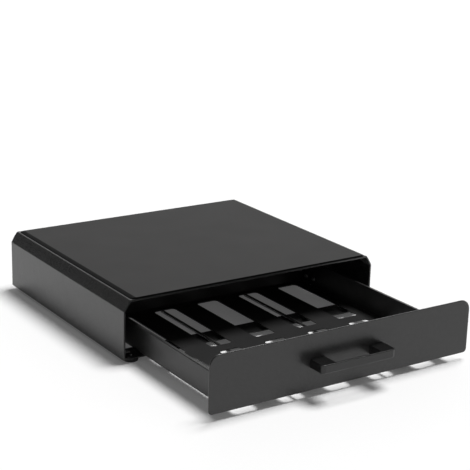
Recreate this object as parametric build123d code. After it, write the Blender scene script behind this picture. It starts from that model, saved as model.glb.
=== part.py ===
from build123d import *

import os
from math import sqrt

# Countertop drawer: a low folded-steel cabinet with one pull-out tray of five lanes.
#
# Millimetres, +Z up, +X to the right, the front faces -Y. The tray is drawn part way out. The origin
# is on the floor under the middle of the whole outline.

# ---- cabinet ---------------------------------------------------------------------------------
cabinet_width = 360.0
cabinet_depth = 306.0
shell_height = 72.5          # from the lower edge of the sides to the painted top
bend_radius = 13.5           # outside radius of the two long top bends
sheet = 1.2                  # steel of shell, tray, front and bars
hem_depth = 14.0             # the sheet is folded back on itself round the front mouth
rear_flange = 11.0
flange_end_gap = 7.0         # where a rear flange stops short of a bend or an edge
back_sheet = 1.0
back_gap = 0.6               # round the back plate, inside the shell
mat_thickness = 2.0
mat_inset = 2.2              # bare strip between a top bend and the mat
mat_setback = 0.8
mat_corner = 3.0

# ---- what the cabinet stands on ----------------------------------------------------------------
foot_height = 5.0
foot_diameter = 18.0
foot_dome = 1.6
foot_inset_x = 14.5          # from the outside of the cabinet to the middle of a foot
foot_inset_y = 9.8
foot_recess_diameter = 9.0
foot_recess_depth = 2.6
crossbar_width = 30.0
crossbar_setback = 0.4

# ---- rails and glides --------------------------------------------------------------------------
rail_height = 8.8
rail_depth = 7.3
rail_setback = 0.6
rail_rear_gap = 14.0
glide_length = 32.0          # nylon blocks at the rear of the tray that run inside the rails
glide_setback = 3.0
glide_plate_height = 15.0
glide_plate = 3.0
glide_web = 8.0              # the gusset between a glide's plate and its tongue
rail_stop_length = 12.0
rail_stop_setback = 31.9     # from the mouth of the cabinet
bumper_diameter = 12.0

# ---- tray --------------------------------------------------------------------------------------
opening = 180.0              # how far the tray stands out as drawn
tray_side_room = 19.8        # from the tray's side to the inside of the shell
tray_rear_room = 6.1         # from the tray's back to the back plate, tray pushed home
tray_wall_height = 34.0
tray_front_height = 48.0     # the tray's front wall backs the handle's screws
tray_bend = 3.0
roll_reach = 2.4             # rolled edge, outwards
roll_drop = 2.6
floor_clearance = 4.0        # between the crossbars and the tray floor, filled by the runners

# ---- lanes -------------------------------------------------------------------------------------
lane_count = 5
lane_pitch = 63.0
slot_width = 30.0            # the long slots in the floor that the rims of a row sink into
slot_corner = 5.0
slot_front_margin = 1.2      # from the inside of the front wall
slot_rear_margin = 8.0
slot_bridge = 16.0           # left across the middle of each lane, where the runners are welded
runner_flat = 0.2            # the runner wires are flattened where they are welded on
runner_rear_margin = 4.0

# ---- front and handle --------------------------------------------------------------------------
front_height = 66.5
front_bottom = 8.5
front_sheet = 2.0            # the front is a plain plate
front_foot_radius = 5.0
handle_width = 102.0
handle_height = 10.2
handle_reach = 23.0
handle_bar = 3.0
handle_leg = 19.8
handle_centre = 40.9         # above the floor
handle_corner = 5.0          # of the bar's two ends, seen from above
handle_round = 1.0

# ---- fasteners ---------------------------------------------------------------------------------
rivet_head = 6.4
rivet_rise = 1.3
rivet_shank = 3.2
screw_head = 6.8
screw_rise = 2.2
screw_shank = 3.4
handle_screw_length = 12.0
foot_screw_length = 4.8
stud_diameter = 4.0
stud_length = 6.0
nut_across_flats = 7.0
nut_height = 3.2

# ---- running gaps ------------------------------------------------------------------------------
slide_gap = 0.3              # under the runners and round the glides
closed_gap = 0.5             # front to cabinet, tray pushed home
buffer_gap = 0.3             # tray to the rear buffers, tray pushed home
hole_gap = 0.2

# ---- places that follow from the sizes ---------------------------------------------------------
shell_bottom = foot_height
shell_top = shell_bottom + shell_height
half_width = cabinet_width / 2
inside = half_width - sheet
tray_half_width = inside - tray_side_room
bar_top = foot_height + sheet
tray_under = bar_top + slide_gap + floor_clearance
tray_floor = tray_under + sheet
tray_top = tray_under + tray_wall_height
rail_top = bar_top + rail_height
channel_low = bar_top + sheet + slide_gap
channel_high = rail_top - sheet - slide_gap
front_reach = opening + front_sheet
rear_reach = cabinet_depth + rivet_rise
mouth = -(rear_reach - front_reach - handle_reach) / 2      # y of the cabinet's front plane
rear = mouth + cabinet_depth
plate_face = rear - sheet - back_sheet                      # inner face of the back plate
front_face = mouth - front_reach
front_inner = front_face + front_sheet
closing = opening - closed_gap
closed_back = plate_face - tray_rear_room
tray_back = closed_back - closing
glide_back = tray_back - glide_setback
glide_front = glide_back - glide_length
lane_places = [(i - (lane_count - 1) / 2) * lane_pitch for i in range(lane_count)]
slot_front = front_inner + sheet + slot_front_margin
slot_back = tray_back - sheet - slot_rear_margin
slot_length = (slot_back - slot_front - slot_bridge) / 2
slot_places = [slot_front + slot_length / 2, slot_back - slot_length / 2]
foot_places = {
    "front_left": (-half_width + foot_inset_x, mouth + foot_inset_y),
    "front_right": (half_width - foot_inset_x, mouth + foot_inset_y),
    "rear_left": (-half_width + foot_inset_x, rear - foot_inset_y - sheet - back_sheet),
    "rear_right": (half_width - foot_inset_x, rear - foot_inset_y - sheet - back_sheet),
}
glide_rivet_height = channel_high + glide_plate_height / 2
glide_rivet_grip = glide_plate + sheet
flange_side = (shell_bottom + rear_flange + flange_end_gap, shell_top - bend_radius - flange_end_gap)
flange_top = half_width - bend_radius - flange_end_gap


def block(x, y, z):
    """A box from its lowest to its highest x, y and z."""
    size = (x[1] - x[0], y[1] - y[0], z[1] - z[0])
    middle = (sum(x) / 2, sum(y) / 2, sum(z) / 2)
    return Pos(*middle) * Box(*size)


def rod(centre, axis, radius, length):
    """A round bar that starts at a point and runs along an axis."""
    return extrude(Plane(centre, z_dir=axis) * Circle(radius), length)


def arch(half, low, high, radius, y, depth):
    """A solid with upright sides and two round upper corners, from y back by depth."""
    path = Polyline((-half, low), (-half, high), (half, high), (half, low), close=True)
    face = make_face(path)
    top = face.vertices().sort_by(Axis.Y)[-2:]
    face = fillet(top, radius)
    return extrude(Plane((0, y, 0), x_dir=(1, 0, 0), z_dir=(0, -1, 0)) * face, -depth)


# ---- cabinet pieces ----------------------------------------------------------------------------
def cabinet_shell():
    """One sheet folded into two sides and a top, hemmed at the mouth, flanged at the rear."""
    outer = arch(half_width, shell_bottom, shell_top, bend_radius, mouth, cabinet_depth)
    outer = fillet(outer.faces().sort_by(Axis.Y)[0].edges().filter_by(above_floor), 0.9 * sheet)
    hem = arch(inside, rail_top, shell_top - sheet, bend_radius - sheet, mouth, hem_depth)
    opening_low = shell_bottom - sheet
    narrow = arch(inside - sheet, opening_low, shell_top - 2 * sheet, bend_radius - 2 * sheet,
                  mouth - sheet, hem_depth + 2 * sheet)
    wide = arch(inside, opening_low, shell_top - sheet, bend_radius - sheet,
                mouth - sheet, cabinet_depth + 2 * sheet)
    shell = (outer - wide) + (hem - narrow)
    y = (rear - sheet, rear)
    for side in (-1, 1):
        x = sorted((side * inside, side * (inside - rear_flange)))
        shell += block(x, y, flange_side)
    shell += block((-flange_top, flange_top), y, (shell_top - sheet - rear_flange, shell_top - sheet))
    for x, z in rivet_places():
        shell -= rod((x, rear + sheet, z), (0, -1, 0), rivet_shank / 2 + hole_gap, 3 * sheet)
    return shell


def above_floor(edge):
    """True for the edges of the mouth, not for the one across its open underside."""
    return edge.center().Z > shell_bottom + sheet


def rivet_places():
    """Rivets through the rear flanges: two up each side and three along the top."""
    middle = inside - rear_flange / 2
    low, high = flange_side
    sides = [(side * middle, z) for side in (-1, 1) for z in (low + flange_end_gap, high - flange_end_gap)]
    z = shell_top - sheet - rear_flange / 2
    return sides + [(x, z) for x in (-flange_top * 0.8, 0, flange_top * 0.8)]


def cabinet_back():
    """A flat plate behind the tray, held against the rear flanges."""
    half = inside - back_gap
    plate = arch(half, bar_top, shell_top - sheet - back_gap, bend_radius - sheet - back_gap,
                 plate_face, back_sheet)
    for x, z in rivet_places():
        plate -= rod((x, plate_face - sheet, z), (0, 1, 0), rivet_shank / 2 + hole_gap, 3 * sheet)
    for x in bumper_places():
        plate -= rod((x, plate_face - sheet, bumper_height()), (0, 1, 0), rivet_shank / 2 + hole_gap, 3 * sheet)
    return plate


def back_rivets():
    """Dome rivets with the head behind the flange and the formed end on the plate."""
    rivets = []
    for x, z in rivet_places():
        head = rod((x, rear, z), (0, 1, 0), rivet_head / 2, rivet_rise)
        head = fillet(head.edges().sort_by(Axis.Y)[-1], 0.8 * rivet_rise)
        shank = rod((x, rear, z), (0, -1, 0), rivet_shank / 2, sheet + back_sheet)
        end = rod((x, plate_face, z), (0, -1, 0), rivet_shank * 0.8, rivet_rise)
        rivets.append(head + shank + end)
    return rivets


def bumper_places():
    return [side * tray_half_width * 0.6 for side in (-1, 1)]


def bumper_height():
    return tray_under + tray_wall_height / 2


def rear_bumper(x):
    """A rubber buffer on the back plate that the tray meets when it is pushed home."""
    length = plate_face - closed_back - buffer_gap
    body = rod((x, plate_face, bumper_height()), (0, -1, 0), bumper_diameter / 2, length)
    body = fillet(body.edges().sort_by(Axis.Y)[0], min(length, bumper_diameter) / 4)
    stem = rod((x, plate_face, bumper_height()), (0, 1, 0), rivet_shank / 2, back_sheet)
    return body + stem


def top_mat():
    """A rubber mat on the flat of the top, between the two bends."""
    half = half_width - bend_radius - mat_inset
    mat = block((-half, half), (mouth + mat_setback, rear - mat_setback),
                (shell_top, shell_top + mat_thickness))
    mat = fillet(mat.edges().filter_by(Axis.Z), mat_corner)
    return chamfer(mat.faces().sort_by(Axis.Z)[-1].edges(), mat_thickness / 5)


def crossbar(front):
    """A flat bar under the tray from side to side, with the holes of its two feet."""
    if front:
        y = (mouth + crossbar_setback, mouth + crossbar_setback + crossbar_width)
    else:
        y = (plate_face - crossbar_setback - crossbar_width, plate_face - crossbar_setback)
    bar = block((-inside, inside), y, (foot_height, bar_top))
    for name, (x, y) in foot_places.items():
        if name.startswith("front") == front:
            bar -= rod((x, y, foot_height - sheet), (0, 0, 1), screw_shank / 2, 3 * sheet)
    return bar


def foot(x, y):
    """A round rubber foot with a recess underneath for its screw."""
    body = rod((x, y, 0), (0, 0, 1), foot_diameter / 2, foot_height)
    body = fillet(body.edges().sort_by(Axis.Z)[0], foot_dome)
    body -= rod((x, y, 0), (0, 0, 1), foot_recess_diameter / 2, foot_recess_depth)
    return body - rod((x, y, 0), (0, 0, 1), screw_shank / 2 + hole_gap, foot_height)


def foot_screws():
    """Pan-head screws from inside the feet up through the crossbars."""
    return [pan_screw((x, y, foot_recess_depth), (0, 0, 1), foot_screw_length, 0.8 * foot_recess_depth)
            for x, y in foot_places.values()]


def pan_screw(seat, axis, length, rise=screw_rise):
    """A pan-head screw whose head rests on seat and whose shank runs along axis."""
    back = tuple(-a for a in axis)
    head = rod(seat, back, screw_head / 2, rise)
    cap = head.faces().sort_by(Axis(seat, back))[-1]
    head = fillet(cap.edges(), 0.6 * rise)
    slot_centre = Vector(*seat) + Vector(*back) * rise
    slot = Plane(slot_centre, z_dir=back) * (Rectangle(0.55 * screw_head, 0.9) + Rectangle(0.9, 0.55 * screw_head))
    head -= extrude(slot, -0.45 * rise)
    return head + rod(seat, axis, screw_shank / 2, length)


def runner_rail(side):
    """A channel along the foot of the side, open towards the tray, that keeps it central."""
    y = (mouth + rail_setback, plate_face - rail_rear_gap)
    outer, inner = side * inside, side * (inside - rail_depth)
    web = side * (inside - sheet)
    rail = block(sorted((outer, inner)), y, (bar_top, bar_top + rail_height))
    return rail - block(sorted((web, inner)), y, (bar_top + sheet, bar_top + rail_height - sheet))


def rail_stop(side):
    """A nylon plug in the rail that the glide meets when the tray is fully out."""
    y = (mouth + rail_stop_setback, mouth + rail_stop_setback + rail_stop_length)
    x = sorted((side * (inside - sheet), side * (inside - rail_depth)))
    plug = block(x, y, (bar_top + sheet, rail_top - sheet))
    return chamfer(plug.faces().sort_by(Axis.Y)[0].edges(), rail_depth / 8)


# ---- tray pieces -------------------------------------------------------------------------------
def drawer_tray():
    """One sheet folded into a slotted floor and four walls, the side walls rolled over."""
    y = (front_inner, tray_back)
    outer = block((-tray_half_width, tray_half_width), y, (tray_under, tray_top))
    low = outer.faces().sort_by(Axis.Z)[0].edges().filter_by(Axis.Y)
    outer = fillet(low, tray_bend)
    inner_half = tray_half_width - sheet
    inner = block((-inner_half, inner_half), (y[0] + sheet, y[1] - sheet), (tray_floor, tray_top + sheet))
    low = inner.faces().sort_by(Axis.Z)[0].edges().filter_by(Axis.Y)
    inner = fillet(low, tray_bend - sheet)
    front_wall = block((-inner_half + tray_bend, inner_half - tray_bend), (y[0], y[0] + sheet),
                       (tray_floor, tray_under + tray_front_height))
    tray = outer - inner + fillet(front_wall.edges().filter_by(Axis.Y).group_by(Axis.Z)[-1], tray_bend)
    for side in (-1, 1):
        roll = block(sorted((side * inner_half, side * (tray_half_width + roll_reach))), y,
                     (tray_top - roll_drop, tray_top))
        edge = roll.edges().filter_by(Axis.Y).sort_by(Axis.X)
        edge = edge[-2:] if side > 0 else edge[:2]
        roll = fillet(edge, 0.45 * roll_drop)
        hollow_x = sorted((side * tray_half_width, side * (tray_half_width + roll_reach - sheet)))
        roll -= block(hollow_x, y, (tray_top - roll_drop, tray_top - sheet))
        tray += roll
    for x in lane_places:
        for y_slot in slot_places:
            tray -= floor_slot(x, y_slot)
    for x, z in stud_places():
        tray -= rod((x, front_inner - sheet, z), (0, 1, 0), stud_diameter / 2 + hole_gap, 3 * sheet)
    for side in (-1, 1):
        for y_rivet in glide_rivet_places():
            seat = (side * (tray_half_width - 2 * sheet), y_rivet, glide_rivet_height)
            tray -= rod(seat, (side, 0, 0), rivet_shank / 2 + hole_gap, 3 * sheet)
    for x in handle_screw_places():
        tray -= rod((x, front_inner - sheet, handle_centre), (0, 1, 0), screw_head / 2 + 1, 3 * sheet)
    return tray


def floor_slot(x, y):
    """The cutter of one slot in the tray floor."""
    outline = RectangleRounded(slot_width, slot_length, slot_corner)
    return extrude(Plane((x, y, tray_under - sheet)) * outline, 3 * sheet)


def glide_rivet_places():
    return [glide_front + glide_length / 4, glide_back - glide_length / 4]


def glide(side):
    """A nylon block on the side of the tray with a tongue that runs inside the rail."""
    y = (glide_front, glide_back)
    tip = inside - sheet - slide_gap
    wall = tray_half_width
    edge = wall + glide_plate
    tongue = block(sorted((side * wall, side * tip)), y, (channel_low, channel_high))
    plate_top = channel_high + glide_plate_height
    plate = block(sorted((side * wall, side * edge)), y, (channel_low, plate_top))
    corner = (side * edge, channel_high)
    web = make_face(Polyline(corner, (side * (edge + glide_web), channel_high),
                             (side * edge, channel_high + glide_web), close=True))
    middle = (glide_front + glide_back) / 2
    web = extrude(Plane((0, middle, 0), x_dir=(1, 0, 0), z_dir=(0, -1, 0)) * web, glide_plate / 2, both=True)
    body = tongue + plate + web
    ends = tongue.edges().filter_by(Axis.Z).sort_by(Axis.X)
    ends = [edge.center() for edge in (ends[-2:] if side > 0 else ends[:2])]
    tips = [e for e in body.edges().filter_by(Axis.Z) if min((e.center() - c).length for c in ends) < 1]
    body = fillet(tips, rail_depth / 4)
    for y_rivet in glide_rivet_places():
        body -= rod((side * (wall - sheet), y_rivet, glide_rivet_height), (side, 0, 0),
                    rivet_shank / 2 + hole_gap, rail_depth)
    return body


def glide_rivets():
    """Flat rivets from inside the tray into the glides."""
    rivets = []
    for side in (-1, 1):
        for y in glide_rivet_places():
            seat = (side * (tray_half_width - sheet), y, glide_rivet_height)
            head = rod(seat, (-side, 0, 0), rivet_head / 2, rivet_rise)
            cap = head.faces().sort_by(Axis.X)[0 if side > 0 else -1]
            head = fillet(cap.edges(), 0.8 * rivet_rise)
            rivets.append(head + rod(seat, (side, 0, 0), rivet_shank / 2, glide_rivet_grip))
    return rivets


def runner(x):
    """A round wire under the floor that carries the tray over the crossbars."""
    y0 = front_inner + slide_gap
    length = tray_back - runner_rear_margin - y0
    radius = (floor_clearance + runner_flat) / 2
    centre = tray_under + runner_flat - radius
    wire = rod((x, y0, centre), (0, 1, 0), radius, length)
    wire = fillet(wire.edges().filter_by(GeomType.CIRCLE), 0.8 * radius)
    top = block((x - radius, x + radius), (y0, y0 + length), (tray_under, tray_under + radius))
    return wire - top


# ---- front pieces ------------------------------------------------------------------------------
def drawer_front():
    """A flat plate with the cabinet's two round upper corners and softened edges."""
    low, high = front_bottom, front_bottom + front_height
    face = make_face(Polyline((-half_width, low), (-half_width, high), (half_width, high),
                              (half_width, low), close=True))
    top = face.vertices().sort_by(Axis.Y)[-2:]
    face = fillet(top, bend_radius)
    foot_corners = [v for v in face.vertices() if abs(v.Y - low) < 0.01]
    face = fillet(foot_corners, front_foot_radius)
    plate = extrude(Plane((0, front_face, 0), x_dir=(1, 0, 0), z_dir=(0, -1, 0)) * face, -front_sheet)
    ends = plate.faces().sort_by(Axis.Y)
    plate = fillet(ends[0].edges() + ends[-1].edges(), 0.4 * front_sheet)
    for x in handle_screw_places():
        plate -= rod((x, front_inner + sheet, handle_centre), (0, -1, 0), screw_shank / 2 + hole_gap,
                     front_sheet + 2 * sheet)
    return plate


def stud_places():
    """Four studs welded behind the front hold the tray's front wall."""
    x = 0.9 * tray_half_width
    middle = (tray_floor + tray_top) / 2
    rise = tray_wall_height / 4
    return [(side * x, z) for side in (-1, 1) for z in (middle - rise, middle + rise)]


def front_studs():
    """Each stud with its nut against the inside of the tray."""
    studs = []
    for x, z in stud_places():
        stud = rod((x, front_inner, z), (0, 1, 0), stud_diameter / 2, stud_length)
        stud = chamfer(stud.edges().sort_by(Axis.Y)[-1], stud_diameter / 10)
        hexagon = RegularPolygon(nut_across_flats / sqrt(3), 6)
        nut = extrude(Plane((x, front_inner + sheet, z), z_dir=(0, 1, 0)) * hexagon, nut_height)
        studs.append(stud + nut)
    return studs


def handle_screw_places():
    return [side * (handle_width - handle_leg) / 2 for side in (-1, 1)]


def handle_screws():
    """Two screws from behind the front into the handle's legs."""
    return [pan_screw((x, front_inner, handle_centre), (0, -1, 0), handle_screw_length)
            for x in handle_screw_places()]


def handle():
    """A moulded pull: a straight bar on two short legs, with soft edges."""
    half = handle_width / 2
    y0, y1 = front_face - handle_reach, front_face
    z = (handle_centre - handle_height / 2, handle_centre + handle_height / 2)
    body = block((-half, half), (y0, y1), z)
    body = fillet(body.edges().filter_by(Axis.Z).sort_by(Axis.Y)[:2], handle_corner)
    gap_half = half - handle_leg
    gap = block((-gap_half, gap_half), (y0 + handle_bar, y1 + handle_bar), z)
    gap = fillet(gap.edges().filter_by(Axis.Z).sort_by(Axis.Y)[:2], handle_bar / 2)
    body -= gap
    body = fillet(body.faces().sort_by(Axis.Z)[-1].edges() + body.faces().sort_by(Axis.Z)[0].edges(),
                  handle_round)
    for x in handle_screw_places():
        body -= rod((x, front_face, handle_centre), (0, -1, 0), screw_shank / 2, handle_screw_length)
    return body


# ---- build -------------------------------------------------------------------------------------
def build():
    """Every node's name and its solid, or its group of equal solids."""
    pieces = {
        "cabinet_shell": cabinet_shell(),
        "cabinet_back": cabinet_back(),
        "back_rivets": back_rivets(),
        "top_mat": top_mat(),
        "front_crossbar": crossbar(True),
        "rear_crossbar": crossbar(False),
        "foot_screws": foot_screws(),
        "drawer_tray": drawer_tray(),
        "drawer_front": drawer_front(),
        "front_studs": front_studs(),
        "glide_rivets": glide_rivets(),
        "handle": handle(),
        "handle_screws": handle_screws(),
    }
    for name, (x, y) in foot_places.items():
        pieces[f"foot_{name}"] = foot(x, y)
    for side, word in ((-1, "left"), (1, "right")):
        pieces[f"runner_rail_{word}"] = runner_rail(side)
        pieces[f"rail_stop_{word}"] = rail_stop(side)
        pieces[f"glide_{word}"] = glide(side)
        pieces[f"rear_bumper_{word}"] = rear_bumper(bumper_places()[side > 0])
        pieces[f"runner_{word}"] = runner(lane_places[1 if side < 0 else -2])
    return pieces


os.makedirs("parts", exist_ok=True)
for node, solid in build().items():
    shape = Compound(children=list(solid)) if isinstance(solid, list) else solid
    export_step(shape, f"parts/{node}.step")
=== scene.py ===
import math

import bmesh
import bpy
from mathutils import Matrix, Vector


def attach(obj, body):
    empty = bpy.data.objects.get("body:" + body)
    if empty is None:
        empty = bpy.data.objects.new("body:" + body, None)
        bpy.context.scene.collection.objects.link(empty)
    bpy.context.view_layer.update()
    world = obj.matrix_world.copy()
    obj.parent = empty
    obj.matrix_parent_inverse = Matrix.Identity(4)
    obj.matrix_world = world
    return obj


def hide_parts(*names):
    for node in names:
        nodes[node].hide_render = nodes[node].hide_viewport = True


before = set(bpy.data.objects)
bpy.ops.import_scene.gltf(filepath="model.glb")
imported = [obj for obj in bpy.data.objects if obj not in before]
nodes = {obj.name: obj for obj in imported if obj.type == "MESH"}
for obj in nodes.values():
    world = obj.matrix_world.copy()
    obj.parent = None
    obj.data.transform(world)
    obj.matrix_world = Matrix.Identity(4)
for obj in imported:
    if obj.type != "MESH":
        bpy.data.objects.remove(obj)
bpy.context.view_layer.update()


def millimetres(*values):
    """The same lengths in metres, which is what Blender works in here."""
    return [value / 1000 for value in values]


# ---- the photograph's camera ------------------------------------------------------------------
CAMERA_PLACE = (-0.8655, -1.29415, 0.5889)
CAMERA_YAW = math.radians(33.87)       # from +Y towards +X
CAMERA_PITCH = math.radians(16.88)     # downwards
CAMERA_ROLL = math.radians(1.60)
FOCAL_PIXELS = 1327.1
PICTURE_PIXELS = 470
SENSOR_MM = 36.0
NEAREST, FARTHEST = 0.05, 60

# ---- light ------------------------------------------------------------------------------------
KEY_DIRECTION = (0.35, 0.0, 1.0)       # towards the lamp
KEY_SPREAD = math.radians(28)
KEY_LEVEL = 0.89                       # what a level surface gets from the lamp
ROOM_LEVEL = 0.13
FLOOR_HALF = 12.0
FLOOR_LIFT = 0.07                      # keeps the floor white where the camera sees it
SWEEP_AZIMUTH = math.radians(36)       # from +Y towards +X
SWEEP_DISTANCE = 6.0
SWEEP_HALF_WIDTH = 3.4
SWEEP_HEIGHT = 4.0
SWEEP_LEVEL = 1.15

# ---- the folded shell -------------------------------------------------------------------------
HALF_WIDTH, SIDE_LOW, SHELL_TOP = millimetres(180.0, 5.0, 77.5)
MOUTH, REAR = millimetres(-51.15, 254.85)
SHEET, HEM_LOW, HEM_DEPTH = millimetres(1.2, 15.0, 14.0)
LIP_RADIUS = 0.0006                    # of the folded edge round the mouth
LIP_MIDDLE = 0.3                       # how far the middle of that edge is cut back, in radii
FACET_LOW, FACET_REACH, FACET_CROWN = millimetres(64.4, 8.3, 0.6)
SHOULDER_BEND, CROWN_BEND, TOP_BEND = millimetres(2.6, 30.0, 3.4)
TIGHTEST_BEND = 0.0002                 # what is left on the inside of a bend
FLANGE_WIDTH, FLANGE_GAP = millimetres(11.0, 7.0)

# ---- the moulded mat --------------------------------------------------------------------------
MAT_HALF, MAT_TOP, MAT_EDGE, MAT_CORNER = millimetres(169.6, 79.5, 5.8, 6.5)
MAT_FRONT_GAP, MAT_BACK_GAP, MAT_LEAST_CORNER = millimetres(0.1, 0.8, 1.0)
MAT_FRONT_SLOPE = 0.1                  # the front edge slopes a tenth as much as the other three
# the sloped edge from its foot to the flat: how far in and how far up, from 0 to 1
MAT_PROFILE = [(0.0, 0.0), (0.0, 0.15), (0.25, 0.45), (0.62, 0.78), (0.85, 0.94), (1.0, 1.0)]


# ---- shader maths -----------------------------------------------------------------------------
OBJECT_PLACE = 3                                       # an output of Texture Coordinate
MIXED_COLOUR = 2                                       # an output of Mix
CAMERA_RAY, GLOSSY_RAY, TRANSMISSION_RAY = 0, 3, 6     # outputs of Light Path


class Socket:
    """One output socket of a material, so that shader maths reads as arithmetic."""

    def __init__(self, finish, output):
        self.finish = finish
        self.output = output

    def _maths(self, operation, first, second):
        return self.finish.node("ShaderNodeMath", {"operation": operation}, i0=first, i1=second)[0]

    def __add__(self, other):
        return self._maths("ADD", self, other)

    def __radd__(self, other):
        return self._maths("ADD", other, self)

    def __sub__(self, other):
        return self._maths("SUBTRACT", self, other)

    def __rsub__(self, other):
        return self._maths("SUBTRACT", other, self)

    def __mul__(self, other):
        return self._maths("MULTIPLY", self, other)

    def __rmul__(self, other):
        return self._maths("MULTIPLY", other, self)


class Finish:
    """A material and the one way its nodes are made."""

    def __init__(self, name):
        self.material = bpy.data.materials.new(name)
        self.material.use_nodes = True
        self.tree = self.material.node_tree
        self.tree.nodes.clear()
        self.output = self.tree.nodes.new("ShaderNodeOutputMaterial")

    def node(self, kind, settings=None, **inputs):
        """Makes a node: settings first, then its sockets by name, or by number as i0, i1 and so on."""
        made = self.tree.nodes.new(kind)
        for key, value in (settings or {}).items():
            if key == "stops":
                self._set_stops(made.color_ramp, value)
            else:
                setattr(made, key, value)
        for key, value in inputs.items():
            numbered = key[0] == "i" and key[1:].isdigit()
            socket = made.inputs[int(key[1:])] if numbered else made.inputs[key.replace("_", " ")]
            if isinstance(value, Socket):
                self.tree.links.new(value.output, socket)
            else:
                socket.default_value = value
        return [Socket(self, output) for output in made.outputs]

    def _set_stops(self, ramp, stops):
        while len(ramp.elements) < len(stops):
            ramp.elements.new(0.5)
        for element, (place, level) in zip(ramp.elements, stops):
            element.position = place
            element.color = (level, level, level, 1)

    def noise(self, size, detail, stretch=None):
        """Soft noise, from 0 to 1, whose blobs are about size metres across."""
        point = self.node("ShaderNodeTexCoord")[OBJECT_PLACE]
        if stretch:
            point = self.node("ShaderNodeMapping", None, Vector=point, Scale=stretch)[0]
        return self.node("ShaderNodeTexNoise", None, Vector=point, Scale=1 / size, Detail=detail)[0]

    def ramp(self, value, stops):
        """A grey level from 0 to 1 that follows value through the stops."""
        return self.node("ShaderNodeValToRGB", {"stops": stops}, Fac=value)[0]

    def blend(self, mask, first, second):
        """A colour that goes from first to second as mask goes from 0 to 1."""
        # the two colours of a Mix node are its inputs 6 and 7
        mixed = self.node("ShaderNodeMix", {"data_type": "RGBA"}, i0=mask, i6=first, i7=second)
        return mixed[MIXED_COLOUR]

    def bump(self, height, strength, depth):
        """The surface's direction where height, from 0 to 1, stands for depth metres."""
        return self.node("ShaderNodeBump", None, Height=height, Strength=strength, Distance=depth)[0]

    def surface(self, shader):
        """The material, finished with this shader."""
        self.tree.links.new(shader.output, self.output.inputs["Surface"])
        return self.material

    def principled(self, **inputs):
        """The material, finished with one Principled shader."""
        return self.surface(self.node("ShaderNodeBsdfPrincipled", None, **inputs)[0])


def grey(level, warmth=0.0):
    """A grey colour, a little towards orange where warmth is above 0."""
    return (level * (1 + warmth), level, level * (1 - warmth), 1)


# ---- finishes ---------------------------------------------------------------------------------
def powder_coat(name, level, roughness):
    """Black powder coat on sheet steel: fine orange peel, pale specks and an uneven sheen."""
    f = Finish(name)
    cloud = f.noise(0.06, 4)
    peel = f.noise(0.0011, 2)
    grain = f.noise(0.00035, 2)
    colour = f.blend(f.ramp(cloud, [(0.3, 0), (0.75, 1)]), grey(level * 0.92), grey(level * 1.12, 0.01))
    colour = f.blend(f.ramp(grain, [(0.45, 0), (0.8, 0.5)]), colour, grey(level * 1.9))
    return f.principled(Base_Color=colour, IOR=1.5,
                        Roughness=roughness + (cloud - 0.5) * 0.07 + (grain - 0.5) * 0.12,
                        Normal=f.bump(peel * 0.7 + grain * 0.3, 0.35, 0.00012))


def mat_rubber(name):
    """Calendered rubber sheet: matte, a fine pebble grain, faint dull patches."""
    f = Finish(name)
    cloud = f.noise(0.045, 4)
    pebble = f.noise(0.0009, 2)
    colour = f.blend(f.ramp(cloud, [(0.25, 0), (0.8, 1)]), grey(0.013, 0.03), grey(0.0165, 0.03))
    colour = f.blend(f.ramp(pebble, [(0.4, 0), (0.8, 0.6)]), colour, grey(0.023, 0.02))
    return f.principled(Base_Color=colour, IOR=1.33,
                        Roughness=0.62 + (cloud - 0.5) * 0.10 + (pebble - 0.5) * 0.1,
                        Normal=f.bump(pebble, 0.5, 0.00016))


def rim_painted_shade_rubber(name):
    """The mat's moulded rim: rubber without the pebble grain, painted far blacker than the mat's top as
    painted shade, and smoother.
    """
    f = Finish(name)
    cloud = f.noise(0.02, 3)
    # painted shade: the rim's base colour is about ten times darker than the same rubber on the mat's
    # top
    return f.principled(Base_Color=f.blend(cloud, grey(0.0012), grey(0.0024)), IOR=1.15,
                        Roughness=0.50 + (cloud - 0.5) * 0.1,
                        Normal=f.bump(f.noise(0.0015, 2), 0.15, 0.0001))


def moulded_plastic(name):
    """Moulded black plastic with a spark-eroded skin."""
    f = Finish(name)
    skin = f.noise(0.0006, 2)
    flow = f.noise(0.02, 2)
    return f.principled(Base_Color=f.blend(flow, grey(0.0054), grey(0.0069)), IOR=1.5,
                        Roughness=0.30 + (skin - 0.5) * 0.16 + (flow - 0.5) * 0.06,
                        Normal=f.bump(skin, 0.3, 0.00008))


def foot_rubber(name):
    """Dull black rubber that has picked up dust."""
    f = Finish(name)
    skin = f.noise(0.0008, 2)
    dust = f.noise(0.006, 3)
    colour = f.blend(f.ramp(dust, [(0.45, 0), (0.9, 0.7)]), grey(0.017), grey(0.045, 0.02))
    return f.principled(Base_Color=colour, IOR=1.5, Roughness=0.7 + (skin - 0.5) * 0.15,
                        Normal=f.bump(skin, 0.4, 0.0001))


def nylon(name):
    """Natural nylon: cream, waxy, with faint flow marks."""
    f = Finish(name)
    flow = f.noise(0.008, 3)
    colour = f.blend(flow, (0.58, 0.57, 0.52, 1), (0.68, 0.67, 0.62, 1))
    return f.principled(Base_Color=colour, IOR=1.53, Roughness=0.38 + (flow - 0.5) * 0.15,
                        Normal=f.bump(f.noise(0.0012, 2), 0.2, 0.0001))


def zinc(name):
    """Zinc plate: a bright metal with cloudy passivation."""
    f = Finish(name)
    cloud = f.noise(0.0025, 3)
    colour = f.blend(cloud, (0.50, 0.50, 0.49, 1), (0.66, 0.66, 0.68, 1))
    return f.principled(Base_Color=colour, Metallic=1.0, Roughness=0.30 + (cloud - 0.5) * 0.2,
                        Normal=f.bump(f.noise(0.0007, 2), 0.2, 0.00005))


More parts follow.
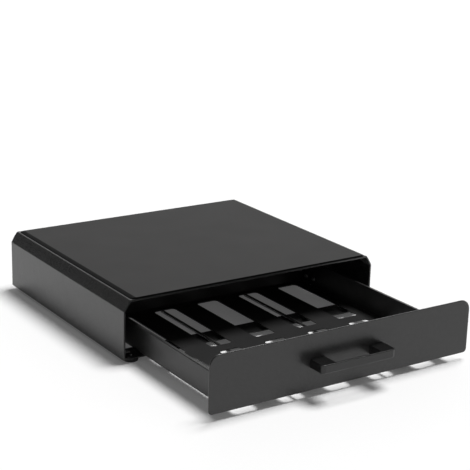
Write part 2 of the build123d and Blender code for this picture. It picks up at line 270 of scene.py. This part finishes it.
def drawn_wire(name):
    """Drawn steel wire: fine lines along its length."""
    f = Finish(name)
    lines = f.noise(0.0006, 2, stretch=(1, 0.02, 1))
    return f.principled(Base_Color=f.blend(lines, grey(0.28), grey(0.37)), Metallic=1.0,
                        Roughness=0.34 + (lines - 0.5) * 0.2, Normal=f.bump(lines, 0.2, 0.0001))


def floor_paper(name):
    """White paper that stays white to the camera and in reflections, and keeps the shadow."""
    f = Finish(name)
    colour = f.blend(f.noise(0.004, 2), grey(0.89), grey(0.91))
    paper = f.node("ShaderNodeBsdfDiffuse", None, Color=colour)[0]
    path = f.node("ShaderNodeLightPath")
    either = {"operation": "MAXIMUM"}
    reflected = f.node("ShaderNodeMath", either, i0=path[GLOSSY_RAY], i1=path[TRANSMISSION_RAY])[0]
    seen = f.node("ShaderNodeMath", either, i0=path[CAMERA_RAY], i1=reflected)[0]
    glow = f.node("ShaderNodeEmission", None, Color=grey(1.0), Strength=seen * FLOOR_LIFT)[0]
    return f.surface(f.node("ShaderNodeAddShader", None, i0=paper, i1=glow)[0])


def lit_paper(name):
    """White paper with its own even light."""
    f = Finish(name)
    colour = f.blend(f.noise(0.3, 2), grey(0.97), grey(1.0))
    return f.surface(f.node("ShaderNodeEmission", None, Strength=SWEEP_LEVEL, Color=colour)[0])


# ---- dressing the solids ----------------------------------------------------------------------
def dress(material, *names):
    """Gives the named solids one finish."""
    for name in names:
        piece = nodes[name]
        piece.data.materials.clear()
        piece.data.materials.append(material)


shell_coat = powder_coat("shell_powder_coat", 0.020, 0.27)

dress(shell_coat, "cabinet_back")
dress(powder_coat("tray_powder_coat", 0.018, 0.40),
      "drawer_tray", "front_crossbar", "rear_crossbar", "runner_rail_left", "runner_rail_right")
dress(powder_coat("front_powder_coat", 0.0185, 0.27), "drawer_front")
dress(moulded_plastic("handle_plastic"), "handle")
dress(drawn_wire("runner_wire"), "runner_left", "runner_right")
dress(foot_rubber("foot_rubber"),
      "foot_front_left", "foot_front_right", "foot_rear_left", "foot_rear_right",
      "rear_bumper_left", "rear_bumper_right")
dress(zinc("zinc_plate"), "back_rivets", "foot_screws", "front_studs", "glide_rivets", "handle_screws")
dress(nylon("natural_nylon"), "glide_left", "glide_right", "rail_stop_left", "rail_stop_right")


# ---- shapes for sheet metal and mouldings -----------------------------------------------------
def to_the_right(start, end):
    """The direction square to the right of a line, one metre long."""
    ahead = (end - start).normalized()
    return Vector((ahead.y, -ahead.x))


def rounded_line(points, radii, inset, steps=6):
    """A bent line with an arc at each inner corner, moved to its right by inset."""
    line = [points[0] + to_the_right(points[0], points[1]) * inset]
    for before, corner, after, radius in zip(points, points[1:], points[2:], radii):
        right, next_right = to_the_right(before, corner), to_the_right(corner, after)
        ahead = (corner - before).normalized()
        place = corner + (right + next_right) * inset / (1 + right.dot(next_right))
        turn = right.angle(next_right)
        bend = max(radius - inset, TIGHTEST_BEND)
        centre = place - ahead * bend * math.tan(turn / 2) + right * bend
        for step in range(steps + 1):
            swing = turn * step / steps
            line.append(centre + bend * (ahead * math.sin(swing) - right * math.cos(swing)))
    return line + [points[-1] + to_the_right(points[-2], points[-1]) * inset]


def skin(rings, closed):
    """A surface through rings of equally many points: its points, its faces and the points per ring."""
    verts = [point for ring in rings for point in ring]
    count = len(rings[0])
    faces = []
    for a in range(len(rings) if closed else len(rings) - 1):
        b = (a + 1) % len(rings)
        for i in range(count - 1):
            faces.append((a * count + i, a * count + i + 1, b * count + i + 1, b * count + i))
    return verts, faces, count


def slab(low, high):
    """A thin plate from its lowest to its highest corner."""
    verts = [(x, y, z) for x in (low[0], high[0]) for y in (low[1], high[1]) for z in (low[2], high[2])]
    return verts, [(0, 1, 3, 2), (4, 6, 7, 5), (0, 4, 5, 1), (2, 3, 7, 6), (0, 2, 6, 4), (1, 5, 7, 3)]


def make_piece(name, parts, material, sharp):
    """One object from several meshes, smooth across turns under sharp degrees and even on its flats."""
    mesh = bpy.data.meshes.new(name)
    verts, faces = [], []
    for part_verts, part_faces in parts:
        faces += [tuple(len(verts) + i for i in face) for face in part_faces]
        verts += part_verts
    mesh.from_pydata(verts, [], faces)
    work = bmesh.new()
    work.from_mesh(mesh)
    bmesh.ops.recalc_face_normals(work, faces=work.faces)
    work.to_mesh(mesh)
    work.free()
    mesh.shade_smooth()
    mesh.set_sharp_from_angle(angle=math.radians(sharp))
    mesh.materials.append(material)
    piece = bpy.data.objects.new(name, mesh)
    bpy.context.scene.collection.objects.link(piece)
    even = piece.modifiers.new("even_flats", "WEIGHTED_NORMAL")
    even.keep_sharp = True
    return piece


# ---- making the folded shell ------------------------------------------------------------------
def shell_section(inset, low):
    """Across the cabinet: up the left side, over the facets and the top, down the right side."""
    foot, shoulder = Vector((-HALF_WIDTH, low)), Vector((-HALF_WIDTH, FACET_LOW))
    edge = Vector((-HALF_WIDTH + FACET_REACH, SHELL_TOP))
    outward = -to_the_right(shoulder, edge)
    crown = (shoulder + edge) / 2 + outward * FACET_CROWN
    left = [foot, shoulder, crown, edge]
    right = [Vector((-point.x, point.y)) for point in reversed(left)]
    radii = [SHOULDER_BEND, CROWN_BEND, TOP_BEND, TOP_BEND, CROWN_BEND, SHOULDER_BEND]
    return rounded_line(left + right, radii, inset)


def folded_sheet(stations, low):
    """A folded sheet: each station is a place front to back and how far in from the outside it lies."""
    rings = [[(point.x, y, point.y) for point in shell_section(inset, low)] for y, inset in stations]
    verts, faces, count = skin(rings, closed=True)
    for end in (0, count - 1):
        faces.append(tuple(ring * count + end for ring in range(len(rings))))
    return verts, faces


def make_shell(material):
    """The shell with its hem at the mouth and its flanges at the rear."""
    cut = LIP_RADIUS * LIP_MIDDLE
    outer = [(REAR, 0.0), (MOUTH + LIP_RADIUS, 0.0), (MOUTH + cut, cut), (MOUTH, LIP_RADIUS),
             (MOUTH, SHEET), (REAR, SHEET)]
    hem = [(MOUTH, SHEET), (MOUTH, 2 * SHEET - LIP_RADIUS), (MOUTH + cut, 2 * SHEET - cut),
           (MOUTH + LIP_RADIUS, 2 * SHEET), (MOUTH + HEM_DEPTH, 2 * SHEET), (MOUTH + HEM_DEPTH, SHEET)]
    parts = [folded_sheet(outer, SIDE_LOW), folded_sheet(hem, HEM_LOW)]
    inner = HALF_WIDTH - SHEET
    low, high = SIDE_LOW + FLANGE_WIDTH + FLANGE_GAP, FACET_LOW - FLANGE_GAP
    for side in (-1, 1):
        x = sorted((side * inner, side * (inner - FLANGE_WIDTH)))
        parts.append(slab((x[0], REAR - SHEET, low), (x[1], REAR, high)))
    across = HALF_WIDTH - FACET_REACH - 2 * FLANGE_GAP
    under_top = SHELL_TOP - SHEET
    parts.append(slab((-across, REAR - SHEET, under_top - FLANGE_WIDTH), (across, REAR, under_top)))
    return make_piece("folded_shell", parts, material, sharp=35)


# ---- making the moulded mat -------------------------------------------------------------------
def mat_ring(inset, z, steps=6):
    """The mat's outline at one height, pulled in by inset, with round corners."""
    radius = max(MAT_CORNER - inset, MAT_LEAST_CORNER)
    x = MAT_HALF - inset - radius
    front = MOUTH + MAT_FRONT_GAP + inset * MAT_FRONT_SLOPE + radius
    back = REAR - MAT_BACK_GAP - inset - radius
    ring = []
    for centre_x, centre_y, start in ((x, front, -90), (x, back, 0), (-x, back, 90), (-x, front, 180)):
        for step in range(steps + 1):
            swing = math.radians(start + 90 * step / steps)
            ring.append((centre_x + radius * math.cos(swing), centre_y + radius * math.sin(swing), z))
    return ring + ring[:1]


def make_mat(top, rim):
    """A moulded mat whose edge slopes down to the sheet on both sides and at the back."""
    rise = MAT_TOP - SHELL_TOP
    rings = [mat_ring(MAT_EDGE * along, SHELL_TOP + rise * up) for along, up in MAT_PROFILE]
    verts, faces, count = skin(rings, closed=False)
    underside = tuple(range(count - 1))
    flat_top = tuple(range((len(rings) - 1) * count, len(rings) * count - 1))
    faces += [underside, flat_top]
    piece = make_piece("moulded_mat", [(verts, faces)], rim, sharp=50)
    piece.data.materials.append(top)
    piece.data.polygons[faces.index(flat_top)].material_index = 1
    return piece


shell = make_shell(shell_coat)
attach(shell, "cabinet")
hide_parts("cabinet_shell")

# the mat's sloped rim gets the mat rubber painted darker, as painted shade
mat = make_mat(mat_rubber("mat_rubber"), rim_painted_shade_rubber("mat_rim_painted_shade"))
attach(mat, "cabinet")
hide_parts("top_mat")


# ---- floor, sweep, room, lamp, camera ---------------------------------------------------------
def make_sheet(name, corners, material):
    """A flat four-cornered sheet."""
    mesh = bpy.data.meshes.new(name)
    mesh.from_pydata(corners, [], [(0, 1, 2, 3)])
    mesh.materials.append(material)
    sheet = bpy.data.objects.new(name, mesh)
    bpy.context.scene.collection.objects.link(sheet)
    return sheet


def make_floor():
    """The white floor, which runs out past the edges of the picture."""
    half = FLOOR_HALF
    corners = [(-half, -half, 0), (half, -half, 0), (half, half, 0), (-half, half, 0)]
    floor = make_sheet("studio_floor", corners, floor_paper("studio_paper"))


def make_sweep():
    """The lit paper behind the object: out of the picture, seen only in what reflects it."""
    away = Vector((math.sin(SWEEP_AZIMUTH), math.cos(SWEEP_AZIMUTH), 0)) * SWEEP_DISTANCE
    along = Vector((away.y, -away.x, 0)).normalized() * SWEEP_HALF_WIDTH
    up = Vector((0, 0, SWEEP_HEIGHT))
    corners = [away - along, away + along, away + along + up, away - along + up]
    sweep = make_sheet("studio_sweep", corners, lit_paper("lit_paper"))


def make_room():
    """Dim light from all round, which leaves most of the work to the lamp and the lit paper."""
    world = bpy.data.worlds.new("studio_room")
    bpy.context.scene.world = world
    world.use_nodes = True
    background = world.node_tree.nodes["Background"]
    background.inputs["Color"].default_value = grey(1.0)
    background.inputs["Strength"].default_value = ROOM_LEVEL


def make_key():
    """A wide soft lamp overhead, a little to the right."""
    direction = Vector(KEY_DIRECTION).normalized()
    light = bpy.data.lights.new("key_lamp", "SUN")
    light.angle = KEY_SPREAD
    light.energy = KEY_LEVEL * math.pi / direction.z
    lamp = bpy.data.objects.new("key_lamp", light)
    lamp.rotation_euler = direction.to_track_quat("Z", "Y").to_euler()
    bpy.context.scene.collection.objects.link(lamp)


def make_camera():
    """The camera of the photograph: its place, its three turns and its focal length in pixels."""
    data = bpy.data.cameras.new("photo_camera")
    data.sensor_fit = "HORIZONTAL"
    data.sensor_width = SENSOR_MM
    data.lens = FOCAL_PIXELS / PICTURE_PIXELS * SENSOR_MM
    data.clip_start = NEAREST
    data.clip_end = FARTHEST
    camera = bpy.data.objects.new("photo_camera", data)
    bpy.context.scene.collection.objects.link(camera)
    forward = Vector((math.sin(CAMERA_YAW) * math.cos(CAMERA_PITCH),
                      math.cos(CAMERA_YAW) * math.cos(CAMERA_PITCH), -math.sin(CAMERA_PITCH)))
    right = Vector((math.cos(CAMERA_YAW), -math.sin(CAMERA_YAW), 0))
    up = right.cross(forward)
    rolled_right = right * math.cos(CAMERA_ROLL) + up * math.sin(CAMERA_ROLL)
    rolled_up = up * math.cos(CAMERA_ROLL) - right * math.sin(CAMERA_ROLL)
    turn = Matrix((rolled_right, rolled_up, -forward)).transposed()
    camera.matrix_world = Matrix.Translation(CAMERA_PLACE) @ turn.to_4x4()
    bpy.context.scene.camera = camera


make_floor()
make_room()
make_sweep()
make_key()
make_camera()
bpy.context.scene.view_settings.view_transform = "Standard"
